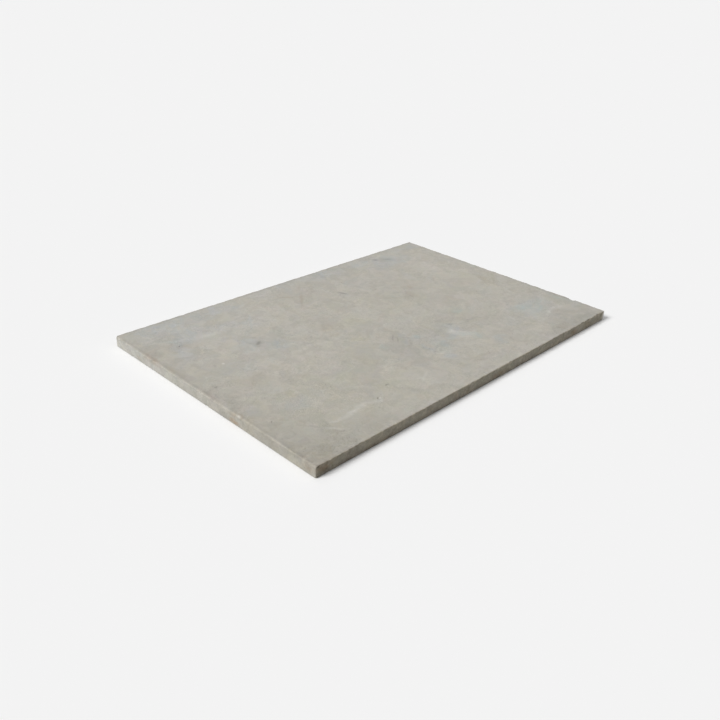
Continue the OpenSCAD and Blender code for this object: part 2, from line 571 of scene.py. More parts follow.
def damage():
    """Every place where the lump is cut out of the tile."""
    shape = bpy.context.scene.tile_shape
    chance = random.Random(shape.seed)
    for side, distance, run, depth, lean in MAIN_CHIPS:
        sunk = (depth + CHIP_SINK) * MM
        yield chip_at(side, distance * MM, run * MM, sunk, math.radians(lean))
    for side, reach in zip(SIDES, CORNER_KNOCK):
        yield knock_at(side, reach * MM)
        yield knock_at(side, FOOT_KNOCK * MM, underneath=True)
        sparser = 1 if side is FRONT else OTHERS_SPARSER
        yield from small_chips(side, shape.chip_pitch * sparser, chance)
        yield from small_chips(side, shape.chip_pitch * FOOT_SPARSER, chance, underneath=True)
    yield spall_at()
    for x, y, diameter, depth in MAIN_PORES:
        across = x * MM + (LOW.x if x > 0 else HIGH.x)
        up = y * MM + (LOW.y if y > 0 else HIGH.y)
        yield pore_at(across, up, diameter * MM, depth * MM)
    for _ in range(SMALL_PORES):
        across = chance.uniform(LOW.x + PORE_MARGIN, HIGH.x - PORE_MARGIN)
        up = chance.uniform(LOW.y + PORE_MARGIN, HIGH.y - PORE_MARGIN)
        diameter = chance.uniform(*PORE_SIZE) * MM
        yield pore_at(across, up, diameter, PORE_DEPTH_SHARE * diameter)


def apart(places):
    """Sorts the lumps' places into sets in which no two lumps can touch."""
    sets = []
    for place in places:
        reach = BULGE_REACH * max(place.to_scale())
        for others in sets:
            if all((place.translation - spot).length > reach + far for _, spot, far in others):
                break
        else:
            others = []
            sets.append(others)
        others.append((place, place.translation, reach))
    return [[place for place, _, _ in others] for others in sets]


def drop_crumbs(tile):
    """Deletes what the cutters left loose. A crumb has no edge as long as the body's cells have."""
    bpy.ops.object.mode_set(mode="EDIT")
    pick_edges(tile, lambda edge: edge.calc_length() > COARSE_CELL / 2)
    bpy.ops.mesh.select_linked()
    bpy.ops.mesh.select_all(action="INVERT")
    bpy.ops.mesh.delete(type="VERT")
    bpy.ops.object.mode_set(mode="OBJECT")


def break_off(tile):
    """Cuts the chips, knocks and pores out of the tile."""
    chance = random.Random(bpy.context.scene.tile_shape.seed)
    lump = broken_lump()
    for places in apart(damage()):
        cutters = [cutter(lump, place, chance) for place in places]
        choose(*cutters)
        if len(cutters) > 1:
            bpy.ops.object.join()
        joined = bpy.context.object
        choose(tile)
        apply_modifier(tile, "BOOLEAN", object=joined, operation="DIFFERENCE", solver="MANIFOLD")
        bpy.data.objects.remove(joined)
    bpy.data.objects.remove(lump)
    choose(tile)
    drop_crumbs(tile)
    bpy.ops.object.shade_smooth_by_angle(angle=SMOOTH_ANGLE)


# The map: the honed face fills its upper two thirds. Below it lie the underside, at half the
# size on the left, and the sides on the right, each in two strips.
MAP_EDGE = 0.01
MAP_SCALE = (1 - 2 * MAP_EDGE) / LENGTH
STRIPS_LEFT = 0.503
STRIP_PITCH = 0.04
# A face whose normal rises more steeply than this counts as level.
LEVEL = 0.7


def lay_out_map(tile):
    """Gives the tile a flat map of its own, by the way that each face looks."""
    layer = tile.data.uv_layers.new(name="OFBake")
    half = MAP_SCALE / 2
    face_foot = 1 - MAP_EDGE - MAP_SCALE * WIDTH
    for polygon in tile.data.polygons:
        normal, centre = polygon.normal, polygon.center
        side = max(SIDES, key=lambda side: normal.dot(side.out))
        row = 2 * SIDES.index(side) + (centre.dot(side.along) > 0)
        for corner in polygon.loop_indices:
            place = tile.data.vertices[tile.data.loops[corner].vertex_index].co
            if normal.z > LEVEL:
                u = MAP_EDGE + MAP_SCALE * (place.x - LOW.x)
                v = face_foot + MAP_SCALE * (place.y - LOW.y)
            elif normal.z < -LEVEL:
                u = MAP_EDGE + half * (HIGH.x - place.x)
                v = MAP_EDGE / 2 + half * (place.y - LOW.y)
            else:
                shift = side.run / 2 if row % 2 == 0 else 0
                u = STRIPS_LEFT + MAP_SCALE * (place.dot(side.along) + shift)
                v = MAP_EDGE / 2 + STRIP_PITCH * row + MAP_SCALE * place.z
            layer.data[corner].uv = (u, v)


# ---- The stone -------------------------------------------------------------------------------


class Wire:
    """A number that varies over a surface. Arithmetic on it adds Math nodes."""

    def __init__(self, graph, socket):
        self.graph, self.socket = graph, socket

    def maths(self, operation, *values):
        settings = {"operation": operation}
        return self.graph.add("ShaderNodeMath", settings, dict(enumerate(values)))

    def __add__(self, other):
        return self.maths("ADD", self, other)

    def __sub__(self, other):
        return self.maths("SUBTRACT", self, other)

    def __rsub__(self, other):
        return self.maths("SUBTRACT", other, self)

    def __mul__(self, other):
        return self.maths("MULTIPLY", self, other)

    def __pow__(self, other):
        return self.maths("POWER", self, other)

    __radd__ = __add__
    __rmul__ = __mul__

    def least(self, other):
        return self.maths("MINIMUM", self, other)

    def most(self, other):
        return self.maths("MAXIMUM", self, other)

    def size(self):
        return self.maths("ABSOLUTE", self)


class Graph:
    """The nodes of one material or world."""

    def __init__(self, owner):
        owner.use_nodes = True
        self.tree = owner.node_tree
        self.tree.nodes.clear()

    def add(self, kind, settings=None, inputs=None, output=0):
        """Adds a node: its type, its settings, and the values or links of its sockets."""
        node = self.tree.nodes.new(kind)
        for name, value in (settings or {}).items():
            setattr(node, name, value)
        for name, value in (inputs or {}).items():
            if isinstance(value, Wire):
                self.tree.links.new(value.socket, node.inputs[name])
            else:
                node.inputs[name].default_value = value
        return Wire(self, node.outputs[output]) if node.outputs else None

    def mix(self, share, first, second, blend="MIX"):
        """A mix of two colours; a colour is a wire, or three numbers."""
        settings = {"data_type": "RGBA", "blend_type": blend}
        first, second = (
            value if isinstance(value, Wire) else (*value, 1) for value in (first, second)
        )
        # Sockets 6 and 7 are the node's colours, and its output 2 is their mix.
        return self.add("ShaderNodeMix", settings, {0: share, 6: first, 7: second}, 2)

    def vector(self, operation, *values):
        inputs = dict(enumerate(values))
        return self.add("ShaderNodeVectorMath", {"operation": operation}, inputs)

    def scaled(self, vector, scale):
        inputs = {0: vector, "Scale": scale}
        return self.add("ShaderNodeVectorMath", {"operation": "SCALE"}, inputs)

    def parts(self, vector):
        """The three coordinates of a place."""
        split = self.add("ShaderNodeSeparateXYZ", {}, {"Vector": vector}).socket.node
        return [Wire(self, socket) for socket in split.outputs]

    def noise(self, place, size, detail=2.0, roughness=0.5, output="Fac"):
        """Cloudy noise from 0 to 1, with lumps of about a size in millimetres."""
        inputs = {"Vector": place, "Scale": 1 / size, "Detail": detail, "Roughness": roughness}
        return self.add("ShaderNodeTexNoise", {}, inputs, output)

    def waver(self, place, size, detail=2.0, roughness=0.5):
        """Cloudy noise that goes up to a half both ways from 0."""
        return self.noise(place, size, detail, roughness) - 0.5

    def drift(self, place, size, detail, reach):
        """Noise that shifts a place by up to half a reach in each direction."""
        colour = self.noise(place, size, detail, output="Color")
        return self.scaled(self.vector("SUBTRACT", colour, (0.5, 0.5, 0.5)), reach)

    def ramp(self, value, start, end, low=0.0, high=1.0):
        """Goes smoothly from low to high as a value goes from start to end."""
        inputs = {"Value": value, "From Min": start, "From Max": end, "To Min": low, "To Max": high}
        return self.add("ShaderNodeMapRange", {"interpolation_type": "SMOOTHSTEP"}, inputs)

    def along_rift(self, place):
        """Coordinates in which a round lump of noise comes out stretched along the rift."""
        inputs = {"Vector": place, "Rotation": (0, 0, RIFT_TURN), "Scale": (RIFT_STRETCH, 1, 1)}
        return self.add("ShaderNodeMapping", {"vector_type": "TEXTURE"}, inputs)

    def mark(self, place, centre, radii, strength, turn=0):
        """A soft-edged patch round a centre, in millimetres, turned in plan by degrees."""
        inputs = {
            "Vector": place, "Location": centre, "Rotation": (0, 0, math.radians(turn)),
            "Scale": radii,
        }
        local = self.add("ShaderNodeMapping", {"vector_type": "TEXTURE"}, inputs)
        ball = {"gradient_type": "SPHERICAL"}
        nearness = self.add("ShaderNodeTexGradient", ball, {"Vector": local}, "Fac")
        return self.ramp(nearness, 0, PATCH_RIM, 0, strength)

    def marks(self, place, patches):
        """Several patches, added up."""
        total = None
        for patch in patches:
            mark = self.mark(place, *patch)
            total = mark if total is None else total + mark
        return total


# The stone's rift: the way in plan along which its grain is longest, and how much longer.
RIFT_TURN = math.radians(43)
RIFT_STRETCH = 1.45
# How far in from its rim a patch comes to its full strength, as a share of its radii.
PATCH_RIM = 0.9

FACE_Z = THICKNESS / MM
FRONT_Y = LOW.y / MM
LEFT_X = LOW.x / MM


def face(x, y, across, up, strength, turn=0):
    """A patch on the honed face, in millimetres from its middle, turned in plan by degrees."""
    return (x, y, FACE_Z), (across, up, 9), strength, turn


def front(x, z, across, up, strength):
    """A patch on the front side."""
    return (x, FRONT_Y, z), (across, 5, up), strength


def left(y, z, across, up, strength):
    """A patch on the left end."""
    return (LEFT_X, y, z), (5, across, up), strength


# Where the honed face is lighter, and where it is darker.
LIGHT_ZONES = (
    face(-200, 100, 80, 120, 0.055),
    face(-110, 140, 80, 100, 0.045, 30),
    face(-170, 5, 110, 60, 0.035),
    face(230, 90, 80, 100, 0.04),
    face(10, 30, 90, 70, 0.025),
    face(130, 140, 120, 60, 0.015),
    face(-80, -140, 34, 60, 0.035),
    face(-165, -90, 60, 50, 0.025),
    face(76, -110, 36, 46, 0.03),
    face(-280, 165, 30, 50, 0.04),
    face(-200, 185, 40, 26, 0.04),
    face(-100, 188, 60, 24, 0.04),
    face(200, 165, 40, 40, 0.035),
    face(-70, -40, 45, 35, 0.035),
    face(-185, -142, 45, 28, 0.035),
    face(160, 30, 40, 40, 0.02),
    face(-45, 15, 45, 30, 0.02),
    face(-285, -62, 38, 34, 0.03),
    face(-240, 62, 30, 30, 0.02),
    face(-292, -188, 36, 26, 0.035),
    face(-62, 184, 42, 22, 0.03),
    face(160, -20, 40, 30, 0.02),
    face(200, 140, 34, 28, 0.02),
    face(240, -186, 34, 24, 0.03),
    face(-160, 62, 30, 22, 0.015),
)
DARK_ZONES = (
    face(-300, -200, 168, 110, 0.158),
    face(-180, 142, 40, 22, 0.03),
    face(80, 165, 40, 35, 0.035),
    face(285, 130, 30, 40, 0.03),
    face(85, -70, 75, 60, 0.03),
    face(20, -155, 55, 40, 0.035),
    face(-160, -188, 45, 26, 0.035),
    face(285, -130, 30, 40, 0.03),
    face(-300, -40, 60, 190, 0.055),
    face(-290, 130, 26, 60, 0.03),
    face(240, -202, 115, 66, 0.18),
    face(-15, -82, 75, 55, 0.05),
    face(40, -70, 85, 55, 0.045),
    face(124, -85, 45, 60, 0.045),
    face(250, -80, 70, 34, 0.025),
    face(10, 165, 70, 40, 0.03),
    face(290, -100, 50, 80, 0.04),
    face(118, 15, 30, 45, 0.03),
    face(165, -130, 45, 45, 0.03),
    face(-162, 62, 26, 30, 0.03),
    face(100, 190, 80, 20, 0.02),
    face(282, 62, 30, 34, 0.025),
    face(0, -102, 34, 24, 0.02),
    face(122, -102, 34, 24, 0.02),
    face(162, -140, 34, 24, 0.02),
    face(-10, -182, 44, 24, 0.018),
    face(198, -186, 30, 22, 0.03),
    face(-185, -186, 44, 20, 0.02),
    face(20, -18, 50, 26, 0.014),
)
# Darker marks, dirt and painted shade. Along the arrises they are partly dirt and partly painted
# shade that damps the lamp's highlight on the rounding; at the foot of the front side and on the
# chips at its left end they are painted shade; in the flake at its right end they are partly dirt
# and partly painted shade; the rest are dirt. A minus is a cleaner place. A patch that is written
# out in full gives its centre, its three radii and its strength.
GRIME_AND_PAINTED_SHADE = (
    # These four, along the left, right and back arrises: partly dirt, partly painted shade that
    # damps the lamp's highlight on their rounding.
    ((LEFT_X + 1.5, 0, FACE_Z), (5.5, 900, 5), 0.08),
    ((-LEFT_X - 3, 0, FACE_Z), (6, 900, 5), 0.04),
    ((-LEFT_X - 4, -125, FACE_Z), (7, 90, 5), 0.06),
    ((0, -FRONT_Y - 2.5, FACE_Z), (1500, 4, 4), 0.09),
    # Painted shade: darker towards the foot of the front side, most at its left end.
    ((-300, FRONT_Y, 2), (900, 2, 6), 0.18),
    # Dirt on the front side near its left end.
    front(-280, 7, 30, 16, 0.04),
    # In the flake's hollow at the front side's right end: partly dirt, partly painted shade.
    front(289, 10.5, 6, 6, 0.3),
    # Painted shade on the chips at the front side's left end.
    ((-294.5, FRONT_Y, 13.5), (6, 4, 4), 0.1),
    ((-284.5, FRONT_Y, 13.5), (5, 4, 4), 0.15),
    # Dirt, and a minus for cleaner places.
    ((LEFT_X, -190, 9), (4, 4, 3), 0.15),
    ((LEFT_X, 182, 13.5), (4, 32, 4), 0.05),
    ((LEFT_X + 4, 194, FACE_Z), (8, 14, 5), -0.05),
    left(-178, FACE_Z, 40, 5, 0.06),
    left(-160, 4, 60, 5, -0.05),
    left(-38, 6, 20, 9, 0.035),
)
# A painted highlight: a thin paler band on the face along the front arris.
PAINTED_ARRIS_HIGHLIGHT = (
    ((0, FRONT_Y + 3.6, FACE_Z), (1500, 2.6, 9), 0.035),
)
# Paler marks, partly bruises and partly painted light. Each gives its centre, its three radii and
# its strength.
BRUISES_AND_PAINTED_LIGHT = (
    # On the front side's right corner: partly a bruise, partly painted light standing in for fill
    # from the right.
    ((299.5, FRONT_Y, 6), (7, 6, 16), 1.3),
    # Painted light that lifts the shade at the foot of the front side near its right end.
    ((282, FRONT_Y, 0), (30, 4, 4), 0.5),
    # A bruise on the left arris.
    ((LEFT_X + 1, -70, FACE_Z), (4, 5, 3), 0.5),
)
BLUE_CLOUDS = (
    face(20, 192, 150, 34, 0.3),
    face(-150, 115, 50, 45, 0.3),
    face(-160, 40, 65, 50, 0.15),
    face(285, -140, 24, 30, 0.3),
    face(45, -20, 34, 24, 0.2),
    face(-235, 180, 75, 38, 0.75),
    face(-150, 175, 75, 30, 0.6, -8),
    face(-225, 140, 60, 30, 0.65, 10),
    face(-175, 135, 40, 22, 0.35, 25),
    face(-262, 105, 18, 55, 0.55, -12),
    face(-180, 68, 32, 34, 0.5, 30),
    face(-150, 36, 30, 20, 0.35, -20),
    face(-138, 112, 45, 8, 0.35, 52),
    face(-128, 52, 22, 14, 0.25, 30),
    face(190, 162, 58, 36, 0.5, -8),
    face(215, 150, 40, 28, 0.25),
    face(285, 188, 22, 18, 0.45),
    face(75, 184, 45, 24, 0.6),
    face(140, 184, 45, 24, 0.5),
    face(-20, 182, 26, 16, 0.4),
    face(78, 136, 18, 8, 0.4, 40),
    face(168, 88, 12, 26, 0.3),
    face(-3, -52, 16, 26, 0.5),
    face(-18, -70, 22, 12, 0.4, 20),
    face(70, -92, 20, 26, 0.7),
    face(12, -135, 18, 20, 0.55),
    face(40, -95, 70, 45, 0.25),
    face(-4, -105, 14, 18, 0.4),
    face(155, -128, 18, 14, 0.5),
    face(96, -152, 20, 12, 0.5),
    face(215, -120, 60, 50, 0.5),
    face(258, -108, 30, 34, 0.2),
    face(245, 184, 38, 26, 0.45),
    face(-282, 165, 26, 35, 0.3),
    face(165, 142, 36, 26, 0.35),
    face(-206, 98, 28, 28, 0.25),
    face(-232, 22, 40, 30, 0.4),
    face(240, -184, 40, 24, 0.2),
    face(-238, -92, 32, 20, 0.3),
    face(-282, -75, 14, 16, 0.3),
)
GREEN_CLOUDS = (
    face(-148, 40, 28, 18, 0.3, -10),
    face(198, 160, 60, 30, 0.1, -30),
    face(-130, 70, 16, 14, 0.35),
    face(-46, -62, 14, 12, 0.6),
    face(13, -75, 12, 12, 0.55),
    face(24, -112, 34, 14, 0.4),
    face(55, -104, 12, 12, 0.45),
    face(78, -114, 24, 14, 0.6, -49),
    face(128, -48, 12, 14, 0.55),
    face(232, -122, 44, 32, 0.5),
    face(212, -112, 14, 24, 0.3),
    face(292, -120, 10, 40, 0.4),
    face(292, 55, 10, 22, 0.35),
    face(-262, 140, 14, 14, 0.4),
)
CLAY_PATCHES = (
    face(-60, 32, 26, 26, 0.4),
    face(-70, 5, 10, 9, 0.4),
    face(114, 36, 22, 12, 0.75, 28),
    face(136, 55, 22, 12, 0.5, 55),
    face(72, 58, 18, 7, 0.4, -20),
    face(258, -2, 15, 32, 0.5),
    face(150, -20, 24, 18, 0.25),
    face(-240, -20, 40, 30, 0.25),
    face(-190, -40, 34, 24, 0.25),
    face(-252, 118, 12, 11, 0.6),
    face(-8, -36, 34, 16, 0.3),
    face(82, -68, 11, 10, 0.45),
    face(256, -66, 14, 10, 0.3),
    face(-296, 120, 10, 45, 0.4),
    face(-292, -90, 16, 110, 0.3),
    face(-290, -180, 80, 34, 0.3),
    face(-298, -196, 34, 26, 0.25),
    face(212, -184, 40, 16, 0.3, 12),
    face(-50, -118, 30, 16, 0.25),
    face(-150, -148, 6, 5, 0.7),
)
CLAY_SEAMS = (
    face(-27, 131, 38, 4, 0.8, 50),
    face(-4, 164, 20, 5, 0.4, 48),
    face(-41, 152, 30, 3.5, 0.7, -34),
    face(-46, 168, 20, 6, 0.3, -50),
    face(82, 46, 34, 3, 0.7, -38),
    face(40, -164, 42, 4, 0.35, -14),
)
OCHRE_PATCHES = (
    face(-190, -125, 165, 85, 0.28),
    face(122, 22, 34, 26, 0.3),
    face(265, 5, 50, 45, 0.3),
    face(-60, -22, 36, 30, 0.25),
    face(-58, 125, 22, 16, 0.4, 40),
    face(-58, -22, 20, 9, 0.6, -38),
    face(-20, 25, 60, 30, 0.35),
    face(40, 72, 28, 14, 0.45, 20),
    face(180, 0, 30, 20, 0.4),
    face(248, 38, 22, 14, 0.45, 20),
    face(160, -75, 26, 18, 0.35),
    face(-152, -80, 34, 26, 0.4),
    face(-100, -72, 26, 26, 0.3),
    face(-120, -135, 40, 20, 0.3),
    face(195, -45, 16, 12, 0.35),
    face(-225, -62, 95, 34, 0.3),
    face(-262, -178, 66, 40, 0.35),
    face(-95, -182, 60, 28, 0.28),
    face(65, 20, 62, 30, 0.3),
)
ROSE_PATCHES = (
    face(-105, 120, 46, 30, 0.35, 40),
    face(-222, 85, 30, 45, 0.35),
    face(-170, 0, 70, 32, 0.3),
    face(-278, 50, 16, 12, 0.6),
    face(-125, -20, 40, 14, 0.3),
    face(-86, -108, 12, 34, 0.5),
    face(240, 92, 34, 44, 0.45),
    face(130, 135, 34, 26, 0.2),
    face(45, -140, 40, 16, 0.4),
    face(176, -162, 36, 14, 0.55, 20),
    face(40, 55, 14, 10, 0.3),
    face(-195, -143, 55, 12, 0.5),
)
PALE_PATCHES = (
    face(-205, 122, 26, 9, 0.4, -4),
    face(-228, -149, 10, 3, 0.4, -30),
    face(-216, -151, 14, 6, 0.45),
    face(-197, -149, 19, 6, 0.55, 12),
    face(-177, -146, 16, 6, 0.5),
    face(-154, -153, 26, 5, 0.4, -26),
    face(-236, -160, 22, 4, 0.45, -44),
    face(62, -91, 16, 14, 0.62, -49),
    face(70, -107, 26, 15, 0.45, -49),
    face(61, -112, 18, 4, 0.2, -42),
    face(-3, -122, 8, 5, 0.4, -45),
    face(-68, -150, 20, 4, 0.4, 30),
    face(254, -144, 26, 8, 0.22, -8),
    face(229, -145, 9, 5, 0.4, 46),
    face(216, -150, 18, 5, 0.15, 14),
    face(-75, -148, 18, 2.5, 0.2),
    face(50, -160, 22, 2.5, 0.2, -8),
    face(-238, 43, 3, 3, 0.95),
    face(-275, 27, 2, 2, 0.5),
    face(-68, -18, 30, 3, 0.3, -52),
)
DARK_PATCHES = (
    face(-168, 58, 9, 4.5, 0.7, 42),
    face(-162, 75, 5, 4, 0.3),
    face(-173, 50, 5, 4, 0.4),
    face(-177, 64, 4, 4, 0.25),
    face(-165, 62, 22, 12, 0.3, 50),
    face(182, 175, 8, 6, 0.9, -39),
    face(201, 164, 13, 4, 0.45, -39),
    face(198, 164, 40, 18, 0.22, -38),
    face(39, 104, 10, 3, 0.95, -54),
    face(36, 112, 7, 5, 0.4, -54),
    face(60, 176, 8, 8, 0.35),
    face(-252, 119, 8, 7, 0.2),
    face(-17, -49, 18, 1.8, 0.5, 44),
    face(-17, -58, 14, 1.6, 0.5, 45),
    face(-4, -60, 9, 2.5, 0.35, -40),
    face(6, -116, 8, 3, 0.35, 30),
    face(78, -74, 6, 5, 0.5, -40),
    face(-250, -142, 24, 3, 0.2, -55),
    face(-118, -132, 4, 3, 0.7),
    face(-280, 0, 4, 3, 0.7),
    face(-254, 118, 9, 6, 0.15),
    face(232, -160, 12, 6, 0.25),
    face(-250, 45, 3, 6, 0.4, -30),
    face(-145, -12, 38, 4, 0.12, 62),
    face(155, -128, 12, 8, 0.2),
    face(20, -110, 22, 10, 0.15),
)
RUST_STAINS = (
    left(-61, 4.5, 13, 5.5, 0.4),
    left(-58, 12, 14, 4, 0.15),
    ((LEFT_X + 2, -70, FACE_Z), (6, 16, 6), 0.14),
    ((LEFT_X + 3, 118, FACE_Z), (6, 34, 6), 0.14),
    ((LEFT_X + 5, 65, FACE_Z), (6, 30, 6), 0.08),
    ((LEFT_X + 3, -12, FACE_Z), (6, 30, 6), 0.06),
    ((LEFT_X + 3, -180, FACE_Z), (5, 26, 6), 0.08),
    left(142, 5, 10, 5, 0.15),
    left(110, 12, 30, 5, 0.2),
    left(-188, 9, 14, 8, 0.2),
    front(-288, 9, 18, 8, 0.4),
    front(-114, 8, 9, 6, 0.22),
    front(-66, 7, 9, 6, 0.2),
    front(-42, 7, 8, 6, 0.2),
    front(24, 6, 26, 6, 0.25),
    front(210, 7, 15, 7, 0.3),
    front(250, 8, 14, 8, 0.3),
    front(-205, 3, 30, 4, 0.15),
)


class Surface:
    """The places that the patterns read, in millimetres, and which part of the tile they are on."""

    def __init__(self, graph):
        metres = graph.add("ShaderNodeTexCoord", output="Object")
        self.place = graph.scaled(metres, 1 / MM)
        self.find_part(graph)
        self.bend_place(graph)

    def find_part(self, graph):
        """Tells the tile's parts apart, each by a share from 0 to 1."""
        x, self.y, z = graph.parts(self.place)
        # How far in from the nearest side a place is.
        inset = (LENGTH / 2 / MM - x.size()).least(WIDTH / 2 / MM - self.y.size())
        self.on_side = 1 - graph.ramp(inset, 0.5, 1.4)
        self.on_left = graph.ramp(x, LEFT_X + 1.2, LEFT_X + 0.4)
        self.honed = graph.ramp(z, FACE_Z - 3, FACE_Z - 2) * (1 - self.on_side)
        # The pale marks, partly bruises and partly painted light. Broken stone lies well within the
        # arrises as they were, save where the left one is worn and where the pale marks are.
        self.bruised_and_lit = graph.marks(self.place, BRUISES_AND_PAINTED_LIGHT)
        rounded = graph.ramp(x, LEFT_X + 4, LEFT_X + 2, 0, 0.5)
        depth = inset.least(FACE_Z - z).least(z) - rounded - self.bruised_and_lit
        self.broken = graph.ramp(depth, 0.3, 0.75) * graph.ramp(inset, 8, 5)

    def bend_place(self, graph):
        """Shifts the coordinates, so that the patches' outlines wander and break up."""
        wide = graph.drift(self.place, 40, 2, 44)
        fine = graph.drift(self.place, 10, 3, 14)
        self.crumpled = graph.vector("ADD", self.place, fine)
        self.nearly = graph.vector("ADD", self.place, graph.scaled(fine, 0.4))
        flat_wide = graph.vector("MULTIPLY", wide, (1, 1, 0.1))
        self.bent = graph.vector("ADD", self.crumpled, flat_wide)
        self.rift = graph.along_rift(self.place)
        self.bent_rift = graph.along_rift(self.bent)


def stone_colour(graph, stone, surface):
    """Each part's own colour, then its clouds, patches and stains, and last the pale marks, which
    are partly bruises and partly painted light.
    """
    left_end = graph.mix(graph.ramp(surface.y, -150, 190), stone.handled, stone.dusty)
    shade = graph.mix(surface.on_left, stone.sawn, left_end)
    shade = graph.mix(surface.honed, shade, stone.body)
    clouding = stone.clouding * surface.honed
    patchy = graph.ramp(graph.noise(surface.bent_rift, 9, 4, 0.65), 0.3, 0.7, 0.4, 1.6)
    for tint, patches in (
        (stone.rose, ROSE_PATCHES),
        (stone.ochre, OCHRE_PATCHES),
        (stone.clay, CLAY_PATCHES),
        (stone.blue, BLUE_CLOUDS),
        (stone.green, GREEN_CLOUDS),
    ):
        shade = graph.mix(graph.marks(surface.bent, patches) * clouding * patchy, shade, tint)
    for tint, patches in (
        (stone.clay, CLAY_SEAMS),
        (stone.pale_and_painted_light, PALE_PATCHES),
        (stone.fleck, DARK_PATCHES),
    ):
        shade = graph.mix(graph.marks(surface.nearly, patches) * clouding, shade, tint)
    stains = graph.marks(surface.place, RUST_STAINS) * patchy + 0.18 * surface.broken
    shade = graph.mix(stains, shade, stone.rust)
    return graph.mix(surface.bruised_and_lit, shade, stone.pale_and_painted_light)


def stone_level(graph, stone, surface, pits):
    """How bright the stone is beside its colour: its grain, coarse to fine, its zones, dirt and
    painted shade, the pale marks, which are partly painted light, and a painted highlight along the
    front arris.
    """
    place, bent = surface.place, surface.bent
    coarse_zone = graph.mark(bent, (-205, -105, FACE_Z), (95, 80, 60), 1)
    lively = graph.ramp(graph.noise(bent, 30), 0.36, 0.64, 0.5, 1.5)
    tone = (
        0.05 * graph.waver(bent, 110, 3, 0.7)
        + 0.13 * graph.waver(bent, 36)
        + 0.2 * graph.waver(bent, 13)
        + 0.18 * lively * graph.waver(surface.crumpled, 4.5)
        + 0.28 * lively * (1 + 1.1 * coarse_zone) * graph.waver(surface.rift, 1.6, 3, 0.7)
        + 0.04 * (graph.ramp(graph.noise(bent, 26, 3), 0.47, 0.53) - 0.5)
        + 0.45 * coarse_zone * graph.waver(place, 0.9)
        + 0.1 * lively * pits
    )
    rough_tone = surface.on_side * (1 - 0.6 * surface.on_left) * (
        0.85 * graph.waver(place, 3.2, 3, 0.65)
        + 0.65 * graph.waver(place, 12)
        + 0.4 * graph.waver(place, 40)
    )
    zones = graph.marks(bent, LIGHT_ZONES) - graph.marks(bent, DARK_ZONES)
    uneven = graph.ramp(graph.noise(place, 14, 3, 0.6), 0.3, 0.7, 0.5, 1.5)
    # Darker for dirt, and for painted shade along the arrises, at the front side's foot and on its
    # chips.
    grime_and_shade = graph.marks(place, GRIME_AND_PAINTED_SHADE) * uneven
    level = 1 + zones * surface.honed + stone.grain * (tone + rough_tone) - grime_and_shade
    # Lighter along the front arris, where a highlight is painted.
    # Lighter on the pale marks, which are partly bruises and partly painted light.
    return level + graph.marks(place, PAINTED_ARRIS_HIGHLIGHT) + 0.2 * surface.bruised_and_lit - 0.12 * surface.broken


def stone_tilt(graph, stone, surface, level):
    """The level for red, green and blue, which tilts the grain's hue a little either way."""
    # The second noise reads mirrored coordinates, so that it doesn't follow the first.
    warmth = graph.waver(surface.bent_rift, 22, 4, 0.9)
    redness = graph.waver(graph.scaled(surface.bent_rift, -1), 18, 4, 0.9)
    red = level * (1 + stone.grain * 0.17 * redness)
    blue = level * (1 - stone.grain * 0.25 * warmth)
    return graph.add("ShaderNodeCombineXYZ", {}, {"X": red, "Y": level, "Z": blue})


def make_stone():
    """The tile's stone. The honed face is nearly smooth, and sawn and broken stone is rough."""
    stone = bpy.context.scene.tile_stone
    material = bpy.data.materials.new("Limestone")
    graph = Graph(material)
    surface = Surface(graph)
    pits = graph.ramp(graph.noise(surface.place, 2.6), 0.30, 0.40, -1.0, 0.0)
    shade = stone_colour(graph, stone, surface)
    tilt = stone_tilt(graph, stone, surface, stone_level(graph, stone, surface, pits))
    shade = graph.mix(1.0, shade, tilt, "MULTIPLY")

    rough_stone = (1 - surface.honed).most(surface.broken)
    grit = graph.noise(surface.place, 1.3, 4, 0.65)
    saw_marks = graph.noise(graph.vector("MULTIPLY", surface.place, (1, 1, 3.5)), 9, 4, 0.6)
    height = (grit + 0.8 * pits) * (1 + 3 * rough_stone) + 8 * saw_marks * (1 - surface.honed)
    bump = graph.add("ShaderNodeBump", {}, {"Distance": stone.relief, "Height": height})
    dull = stone.dull + 0.12 * graph.waver(surface.bent, 20, 3) + 0.2 * rough_stone
    inputs = {"Base Color": shade, "Roughness": dull, "Normal": bump}
    shader = graph.add("ShaderNodeBsdfPrincipled", {}, inputs)
    graph.add("ShaderNodeOutputMaterial", {}, {"Surface": shader})
    return material


class TileStoneBody(bpy.types.Operator):
    """Models the tile's worn body and gives it its stone"""

    bl_idname = "tile.body"
    bl_label = "Make the tile"

    def execute(self, context):
        tile = sawn_block()
        divide(tile)
        weather(tile)
        break_off(tile)
        lay_out_map(tile)
        tile.name = tile.data.name = "limestone_tile"
        tile.data.materials.clear()
        tile.data.materials.append(make_stone())
        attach(tile, "root")
        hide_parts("tile")
        return {"FINISHED"}


# ---- The studio ------------------------------------------------------------------------------

FLOOR_RADIUS = 30
# The dome is brightest overhead, and falls off by this power of a direction's upright part.
DOME_FALL = 2
# The lamp and the camera: how far round from the tile's front they stand, and how high.
KEY_TURN = math.radians(-105.5)
KEY_HEIGHT = math.radians(40)
KEY_DISTANCE = 2
VIEW_TURN = math.radians(-46.6)
VIEW_HEIGHT = math.radians(28.16)
VIEW_ROLL = math.radians(2.65)
VIEW_DISTANCE = 1.0295
VIEW_TARGET = Vector((-0.0783, -0.046, 0))
# The camera's lens, in millimetres.
LENS = 38.2


def towards(turn, height):
    """The way to something seen at a height, turned anticlockwise from the front."""
    return Vector((
        math.sin(turn) * math.cos(height), -math.cos(turn) * math.cos(height), math.sin(height),
    ))


def seen_ray(graph):
    """1 where a ray from the camera, a reflection or clear glass looks, and otherwise 0."""
    path = graph.add("ShaderNodeLightPath").socket.node.outputs
    camera, glossy, clear = (
        Wire(graph, path[name])
        for name in ("Is Camera Ray", "Is Glossy Ray", "Is Transmission Ray")
    )
    return camera.most(glossy).most(clear)


